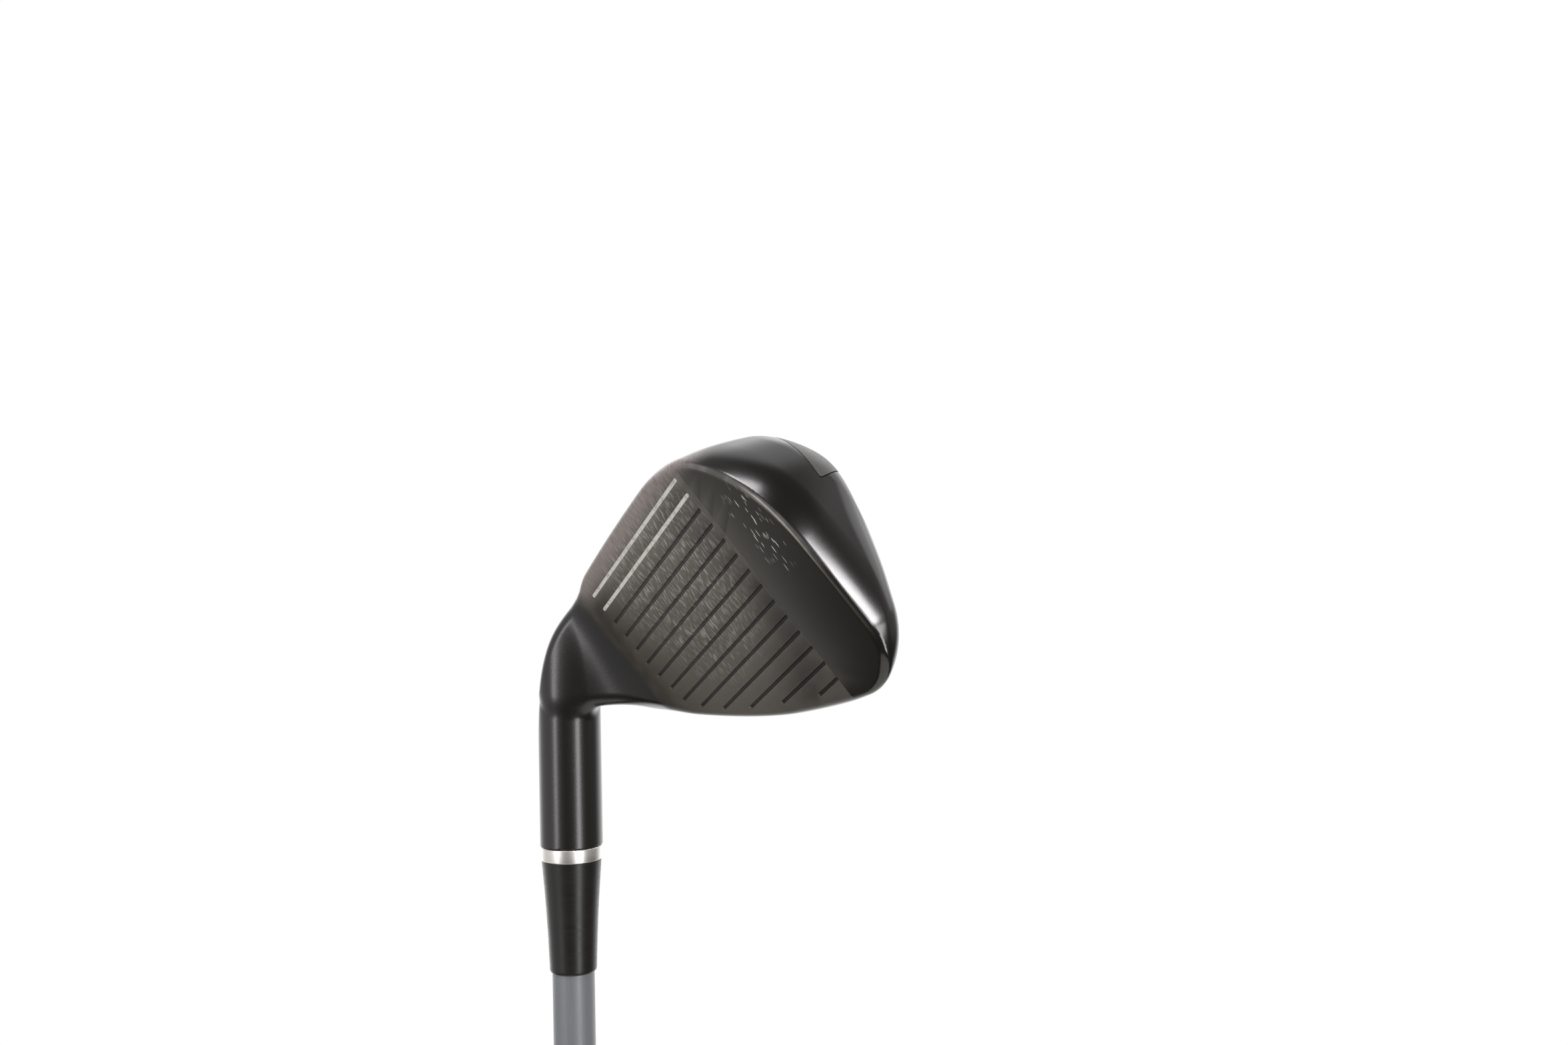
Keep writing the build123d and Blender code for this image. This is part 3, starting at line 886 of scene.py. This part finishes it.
def set_relief(tree, shader, height, depth):
    """Fine relief, with its depth in millimetres."""
    bump = add(tree, "ShaderNodeBump", {"Height": height, "Distance": depth * MM, "Strength": 1.0})
    tree.links.new(bump.outputs[0], shader.inputs["Normal"])


# ---- black steel of the head --------------------------------------------------------------------

BLAST_EDGE_U = 52.95       # the blasted area's toe edge, at the lowest scoreline
BLAST_LEAN = 0.0433
BLAST_EDGE_HALF = 0.12
NECK_FROM_U = -6.0         # the face plane's finish has faded out here
IN_PLANE_N = (0.60, 0.05)  # counts as the face plane within this depth
WORN_MIDDLE = ((23.0, 20.0), (28.0, 36.0))  # middle and spread in u and v
SCRATCH_ZONE = ((29.0, 8.0), (26.0, 32.0))
NICK_ZONE = ((61.0, 18.5), (5.2, 11.5))
# the rubbed crest is lightened over this range as a painted highlight
RUBBED_HIGHLIGHT_U = (50.0, 57.0)
RUBBED_HIGHLIGHT_V = (34.0, 24.0)
# painted sheen along the sole's front: its range and colour
SOLE_SHEEN_V = (2.5, -4.0)
SOLE_SHEEN_N = (8.0, 3.0)
SOLE_SHEEN_U = (-8.0, 0.0)
SOLE_SHEEN_COLOUR = (0.20, 0.168, 0.162, 1.0)
STEEL_TINT = (1.0, 0.97, 0.98, 1.0)
FACE_TINT = (1.0, 0.91, 0.75, 1.0)
GLOSSY_ROUGHNESS = (0.25, 0.16)  # from the heel to the toe
STROKE_EDGE = (0.30, 0.12)


def strokes(tree, u, v, lean, length, width, keep):
    """Sparse short strokes along v, as knocks leave them: 1 inside a stroke."""
    across = maths(tree, "ADD", u, maths(tree, "MULTIPLY", v, lean))
    place = vector(tree, maths(tree, "DIVIDE", across, width), maths(tree, "DIVIDE", v, length), 0.0)
    cells = add(tree, "ShaderNodeTexVoronoi", {"Vector": place, "Scale": 1.0, "Randomness": 1.0},
                voronoi_dimensions="2D")
    chosen = add(tree, "ShaderNodeSeparateColor", {0: cells.outputs["Color"]})
    kept = maths(tree, "GREATER_THAN", chosen.outputs[0], 1.0 - keep)
    shape = smooth(tree, cells.outputs["Distance"], *STROKE_EDGE)
    strength = smooth(tree, chosen.outputs[1], 0.0, 1.0, 0.25, 1.0)
    return product(tree, kept, shape, strength)


def blob(tree, coordinates, centre, spread):
    """Soft elliptical patch: 1 at its middle and 0 at its rim."""
    total = None
    for value, middle, size in zip(coordinates, centre, spread):
        share = maths(tree, "DIVIDE", maths(tree, "SUBTRACT", value, middle), size)
        square = maths(tree, "MULTIPLY", share, share)
        total = square if total is None else maths(tree, "ADD", total, square)
    return smooth(tree, total, 1.0, 0.15)


def ball_scratches(tree, u, v, streaky):
    """Scratches that balls leave across the scorelines."""
    coarse = strokes(tree, u, v, 0.30, 3.2, 0.38, 0.34)
    fine = smooth(tree, streaky, 0.50, 0.72)
    both = maths(tree, "ADD", coarse, maths(tree, "MULTIPLY", fine, 0.55))
    return maths(tree, "MULTIPLY", both, blob(tree, (u, v), *SCRATCH_ZONE))


def toe_nicks(tree, u, v):
    """Bright nicks on the plain strip at the toe side of the face."""
    long = strokes(tree, u, v, 0.07, 3.4, 0.34, 0.16)
    short = strokes(tree, maths(tree, "ADD", u, 0.37), v, 0.12, 2.2, 0.30, 0.13)
    return maths(tree, "MULTIPLY", maths(tree, "MAXIMUM", long, short), blob(tree, (u, v), *NICK_ZONE))


def rubbed_crest_highlight(tree, u, v, n, place):
    """Rubbed edge between the face and the toe, lightened where the crest catches the light: wear and a
    painted highlight in one.
    """
    patchy = smooth(tree, noise(tree, place, 0.3), 0.3, 0.7, 0.35, 0.75)
    return product(tree, smooth(tree, n, 0.02, 0.12), smooth(tree, n, 0.85, 0.45),
                   smooth(tree, u, *RUBBED_HIGHLIGHT_U), smooth(tree, v, *RUBBED_HIGHLIGHT_V), patchy)


def painted_sole_sheen(tree, u, v, n, streaky):
    """Painted sheen: a lighter, brownish, streaked band along the sole's front."""
    return product(tree, smooth(tree, v, *SOLE_SHEEN_V), smooth(tree, n, *SOLE_SHEEN_N),
                   smooth(tree, streaky, 0.25, 0.7, 0.55, 1.0), smooth(tree, u, *SOLE_SHEEN_U))


def black_steel():
    """Worn black finish: blasted scoring area, smoother toe, polished sides."""
    material, tree, shader = new_material("black_steel")
    u, v, n = head_place(tree)
    place = vector(tree, u, v, n)
    past_neck = smooth(tree, u, NECK_FROM_U, NECK_FROM_U + 2.0)
    in_plane = product(tree, smooth(tree, maths(tree, "ABSOLUTE", n), *IN_PLANE_N), past_neck)
    boundary = maths(tree, "ADD", u, maths(tree, "MULTIPLY", v, BLAST_LEAN))
    scored = smooth(tree, boundary, BLAST_EDGE_U + BLAST_EDGE_HALF, BLAST_EDGE_U - BLAST_EDGE_HALF)
    blasted = maths(tree, "MULTIPLY", in_plane, scored)

    cloudy = noise(tree, place, 0.11, 3.0)
    fine = noise(tree, place, 3.2)
    streaky = noise(tree, vector(tree, product(tree, u, 2.2), product(tree, v, 0.45), n), 0.9, 3.0)
    scratches = maths(tree, "MULTIPLY", ball_scratches(tree, u, v, streaky), blasted, clamp=True)
    nicks = maths(tree, "MULTIPLY", toe_nicks(tree, u, v), in_plane)
    clouds = product(tree, smooth(tree, cloudy, 0.35, 0.7), blasted, 0.5)

    scoring = blend_colour(tree, blob(tree, (u, v), *WORN_MIDDLE), grey(0.008, 0.20), grey(0.052, 0.16))
    base = blend_colour(tree, blasted, grey(0.004, 0.15), scoring)
    base = blend_colour(tree, clouds, base, grey(0.050, 0.16))
    base = blend_colour(tree, scratches, base, grey(0.32, 0.06))
    base = blend_colour(tree, nicks, base, grey(0.75, 0.03))
    # painted highlight: lighter rubbed crest between the face and the toe
    base = blend_colour(tree, rubbed_crest_highlight(tree, u, v, n, place), base, grey(0.10, 0.02))
    # painted sheen: lighter brownish band along the sole's front
    base = blend_colour(tree, painted_sole_sheen(tree, u, v, n, streaky), base, SOLE_SHEEN_COLOUR)
    set_colour(tree, shader, base)
    tree.links.new(blend_colour(tree, in_plane, STEEL_TINT, FACE_TINT), shader.inputs["Specular Tint"])
    shader.inputs["Specular IOR Level"].default_value = 0.55

    rough = maths(tree, "ADD", smooth(tree, u, 0.0, 45.0, *GLOSSY_ROUGHNESS), product(tree, blasted, 0.25))
    rough = maths(tree, "ADD", rough, product(tree, fine, 0.06))
    rough = maths(tree, "SUBTRACT", rough, product(tree, scratches, 0.12))
    set_roughness(tree, shader, rough)

    grit = product(tree, noise(tree, place, 6.5, 2.0, 0.6), blasted, 0.9)
    skin = product(tree, noise(tree, place, 1.1), 0.10)
    height = maths(tree, "SUBTRACT", maths(tree, "ADD", grit, skin), product(tree, nicks, 1.5))
    set_relief(tree, shader, height, 0.02)
    return material


# ---- other finishes -----------------------------------------------------------------------------


def cap_finish():
    """Rear cap: the same black, a little rougher and greyer."""
    material, tree, shader = new_material("black_cap")
    place = scaled(tree, object_place(tree), (1.0 / MM,) * 3)
    tone = smooth(tree, noise(tree, place, 0.25, 3.0), 0.3, 0.7)
    set_colour(tree, shader, blend_colour(tree, tone, grey(0.022, 0.05), grey(0.034, 0.05)))
    set_roughness(tree, shader, smooth(tree, noise(tree, place, 2.0), 0.2, 0.8, 0.42, 0.52))
    set_relief(tree, shader, noise(tree, place, 5.0, 2.0, 0.6), 0.015)
    return material


def polished_metal():
    """Ring turned and polished, with faint marks round it."""
    material, tree, shader = new_material("polished_ring")
    marks = noise(tree, scaled(tree, object_place(tree), (60.0, 60.0, 9000.0)), 1.0)
    shader.inputs["Metallic"].default_value = 1.0
    set_colour(tree, shader, blend_colour(tree, marks, (0.56, 0.54, 0.505, 1), (0.66, 0.64, 0.605, 1)))
    set_roughness(tree, shader, smooth(tree, marks, 0.2, 0.8, 0.33, 0.41))
    set_relief(tree, shader, marks, 0.004)
    return material


def ferrule_plastic():
    """Black plastic with fine turning marks."""
    material, tree, shader = new_material("ferrule_black")
    marks = noise(tree, scaled(tree, object_place(tree), (120.0, 120.0, 5000.0)), 1.0, 3.0)
    set_colour(tree, shader, blend_colour(tree, marks, grey(0.004, 0.1), grey(0.008, 0.1)))
    set_roughness(tree, shader, smooth(tree, marks, 0.2, 0.8, 0.30, 0.42))
    shader.inputs["Specular IOR Level"].default_value = 0.35
    set_relief(tree, shader, marks, 0.006)
    return material


def shaft_lacquer():
    """Grey lacquer with a fine flake, over a grain that runs along the shaft."""
    material, tree, shader = new_material("shaft_grey")
    place = object_place(tree)
    grain = noise(tree, scaled(tree, place, (2500.0, 2500.0, 110.0)), 1.0, 3.0)
    flake = noise(tree, place, 5200.0, 1.0)
    set_colour(tree, shader, blend_colour(tree, grain, (0.122, 0.125, 0.131, 1), (0.150, 0.153, 0.160, 1)))
    shader.inputs["Metallic"].default_value = 0.25
    set_roughness(tree, shader, smooth(tree, flake, 0.3, 0.7, 0.40, 0.52))
    set_relief(tree, shader, grain, 0.006)
    return material


def grip_rubber():
    material, tree, shader = new_material("grip_rubber")
    place = object_place(tree)
    grain = noise(tree, place, 2400.0, 3.0, 0.6)
    tone = noise(tree, place, 35.0)
    set_colour(tree, shader, blend_colour(tree, tone, grey(0.014, 0.02), grey(0.026, 0.02)))
    set_roughness(tree, shader, smooth(tree, grain, 0.3, 0.7, 0.62, 0.82))
    set_relief(tree, shader, grain, 0.05)
    return material


def line_white():
    """White paint, dirty in patches."""
    material, tree, shader = new_material("line_white")
    dirt = noise(tree, object_place(tree), 900.0, 3.0, 0.6)
    patches = smooth(tree, dirt, 0.45, 0.75)
    set_colour(tree, shader, blend_colour(tree, patches, (0.54, 0.52, 0.48, 1), (0.28, 0.26, 0.23, 1)))
    shader.inputs["Roughness"].default_value = 0.5
    set_relief(tree, shader, dirt, 0.02)
    return material


def hidden_finish(name, low, high, scale, roughness, metallic=0.0):
    """Plain but grained finish for a piece inside the club."""
    material, tree, shader = new_material(name)
    grain = noise(tree, object_place(tree), scale, 3.0)
    set_colour(tree, shader, blend_colour(tree, grain, low, high))
    shader.inputs["Roughness"].default_value = roughness
    shader.inputs["Metallic"].default_value = metallic
    set_relief(tree, shader, grain, 0.02)
    return material


# ---- assembly -----------------------------------------------------------------------------------


def finish_piece(piece, material, node):
    piece.data.materials.clear()
    piece.data.materials.append(material)
    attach(piece, "root")
    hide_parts(node)


def build_head():
    field = head_field()
    points, quads = head_skin(field)
    steel = black_steel()
    body = mesh_object("head_casting", to_scene(points), quads)
    facing_out(body)
    cap = mesh_object("rear_cover", to_scene(points), quads)
    facing_out(cap)
    boolean(cap, cap_zone("cap_cutter", -CAP_GAP / 2), "INTERSECT")
    boolean(body, cap_zone("body_cutter", CAP_GAP / 2), "DIFFERENCE")
    boolean(body, plate_cutter(), "DIFFERENCE")
    shade_like_head(body)
    shade_like_head(cap)
    plate = face_plate()
    finish_piece(body, steel, "head_body")
    finish_piece(plate, steel, "face_plate")
    finish_piece(cap, cap_finish(), "rear_cap")
    glue = hidden_finish("adhesive", grey(0.010), grey(0.018), 900.0, 0.4)
    finish_piece(cap_bond(field), glue, "cap_adhesive")
    white = line_white()
    for index in range(PAINTED_LINES):
        paint = line_paint(f"line_fill_{index + 1}", index)
        finish_piece(paint, white, f"scoreline_paint_{index + 1}")


def build_shaft_side():
    finish_piece(make_ring(), polished_metal(), "ferrule_ring")
    finish_piece(make_ferrule(), ferrule_plastic(), "ferrule")
    finish_piece(make_shaft(), shaft_lacquer(), "shaft")
    finish_piece(make_grip(), grip_rubber(), "grip")


def dress_hidden_nodes():
    brass = hidden_finish("weight_brass", (0.55, 0.40, 0.16, 1), (0.68, 0.50, 0.22, 1), 700.0, 0.35, 1.0)
    epoxy = hidden_finish("epoxy", (0.30, 0.24, 0.12, 1), (0.42, 0.34, 0.18, 1), 800.0, 0.3)
    paper = hidden_finish("tape_paper", (0.60, 0.55, 0.45, 1), (0.70, 0.66, 0.56, 1), 1500.0, 0.8)
    for name, material in (("tip_weight", brass), ("tip_epoxy", epoxy), ("grip_tape", paper)):
        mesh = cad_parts[name].data
        mesh.materials.clear()
        mesh.materials.append(material)


# ---- camera, floor and light --------------------------------------------------------------------

CAMERA_FROM_AXIS = Vector((330.545, -117.43, 22.656))  # from the axis point, in millimetres
CAMERA_HEADING = 152.416       # degrees from +X
CAMERA_PITCH = 0.257
CAMERA_ROLL = -1.022
CAMERA_LENS = 35.51


def camera_axes():
    """Right, up and forward directions of the camera."""
    heading = radians(CAMERA_HEADING)
    pitch = radians(CAMERA_PITCH)
    roll = radians(CAMERA_ROLL)
    forward = Vector((cos(heading) * cos(pitch), sin(heading) * cos(pitch), sin(pitch)))
    level_right = forward.cross(Vector((0, 0, 1))).normalized()
    level_up = level_right.cross(forward)
    right = level_right * cos(roll) + level_up * sin(roll)
    return right, right.cross(forward), forward


def make_camera():
    data = bpy.data.cameras.new("camera")
    data.lens = CAMERA_LENS
    data.sensor_width = 36.0
    data.clip_start = 0.01
    camera = bpy.data.objects.new("camera", data)
    bpy.context.scene.collection.objects.link(camera)
    right, up, forward = camera_axes()
    place = (Vector((0, 0, AXIS_Z)) + CAMERA_FROM_AXIS) * MM
    turn = Matrix((right, up, -forward)).transposed()
    camera.matrix_world = Matrix.Translation(place) @ turn.to_4x4()
    bpy.context.scene.camera = camera


def lamp(name, side, rise, distance, width, height, brightness):
    """Soft box that the head sees this many degrees to the camera's right and above it."""
    right, up, forward = camera_axes()
    level = right * sin(radians(side)) - forward * cos(radians(side))
    away = level * cos(radians(rise)) + up * sin(radians(rise))
    data = bpy.data.lights.new(name, "AREA")
    data.shape = "RECTANGLE"
    data.size = width
    data.size_y = height
    data.energy = brightness * pi * width * height
    light = bpy.data.objects.new(name, data)
    bpy.context.scene.collection.objects.link(light)
    centre = Vector((0, 0, AXIS_Z)) * MM
    light.location = centre + away * distance
    light.rotation_mode = "QUATERNION"
    light.rotation_quaternion = away.to_track_quat("Z", "Y")
    light.visible_camera = False


ROOM_LEVEL = 0.10
SEEN_LEVEL = 1.0           # white background


def make_world():
    """White surroundings behind the club and a dimmer room in front of it."""
    world = bpy.data.worlds.new("studio")
    world.use_nodes = True
    bpy.context.scene.world = world
    tree = world.node_tree
    shader = tree.nodes["Background"]
    direction = add(tree, "ShaderNodeTexCoord").outputs["Generated"]
    right, up, forward = camera_axes()

    def towards(aim, start, end, strength):
        """Light from round a direction, growing from 0 at start to its strength at end."""
        return smooth(tree, dot(tree, direction, aim), start, end, 0.0, strength)

    behind = towards(forward, 0.30, 0.85, 1.9)
    left = product(tree, towards(-right, 0.10, 0.95, 0.8), towards(up, -0.63, -0.38, 1.0))
    over_right = towards(right * 0.59 + forward * 0.31 + up * 0.74, 0.86, 0.91, 1.6)
    over_back = towards(right * 0.12 + forward * 0.45 + up * 0.88, 0.86, 0.94, 1.5)
    beside = towards(right * 0.90 + up * 0.436, 0.75, 0.95, 0.5)
    level = behind
    for part in (left, over_right, over_back, beside, ROOM_LEVEL):
        level = maths(tree, "ADD", level, part)
    shader.inputs["Color"].default_value = (1, 1, 1, 1)
    tree.links.new(level, shader.inputs["Strength"])
    seen = add(tree, "ShaderNodeBackground", {"Color": (1, 1, 1, 1), "Strength": SEEN_LEVEL})
    is_camera = add(tree, "ShaderNodeLightPath").outputs["Is Camera Ray"]
    mixed = add(tree, "ShaderNodeMixShader", {0: is_camera, 1: shader.outputs[0], 2: seen.outputs[0]})
    tree.links.new(mixed.outputs[0], tree.nodes["World Output"].inputs["Surface"])


FLOOR_R = 0.6
FLOOR_DROP = 0.0002        # keeps the floor clear of the butt's end
FLOOR_SIDES = 96


def make_floor():
    """Pale round floor under the butt cap."""
    turns = np.arange(FLOOR_SIDES) * 2.0 * pi / FLOOR_SIDES
    points = [(FLOOR_R * cos(turn), FLOOR_R * sin(turn), -FLOOR_DROP) for turn in turns]
    floor = mesh_object("studio_floor", points, [list(range(FLOOR_SIDES))])
    material, tree, shader = new_material("pale_floor")
    tone = noise(tree, object_place(tree), 3.0)
    set_colour(tree, shader, blend_colour(tree, tone, grey(0.80), grey(0.84)))
    shader.inputs["Roughness"].default_value = 0.7
    floor.data.materials.append(material)


def make_lights():
    """Two upright boxes for the hosel, a key with a skirt and a foot for the toe, and one overhead."""
    lamp("left_box", -46, -3, 0.6, 0.10, 0.38, 8.0)
    lamp("right_box", 37, -8, 0.5, 0.10, 0.46, 10.5)
    lamp("key", 28, 25.5, 0.8, 0.18, 0.15, 32.0)
    lamp("key_skirt", 19, 18, 0.8, 0.11, 0.10, 20.0)
    lamp("key_foot", 9, 11, 0.8, 0.13, 0.07, 13.0)
    lamp("upper_left_box", -38, 59, 1.2, 0.50, 0.32, 15.0)


bpy.context.scene.view_settings.view_transform = "Standard"
make_camera()
make_world()
make_lights()
make_floor()
build_head()
build_shaft_side()
dress_hidden_nodes()
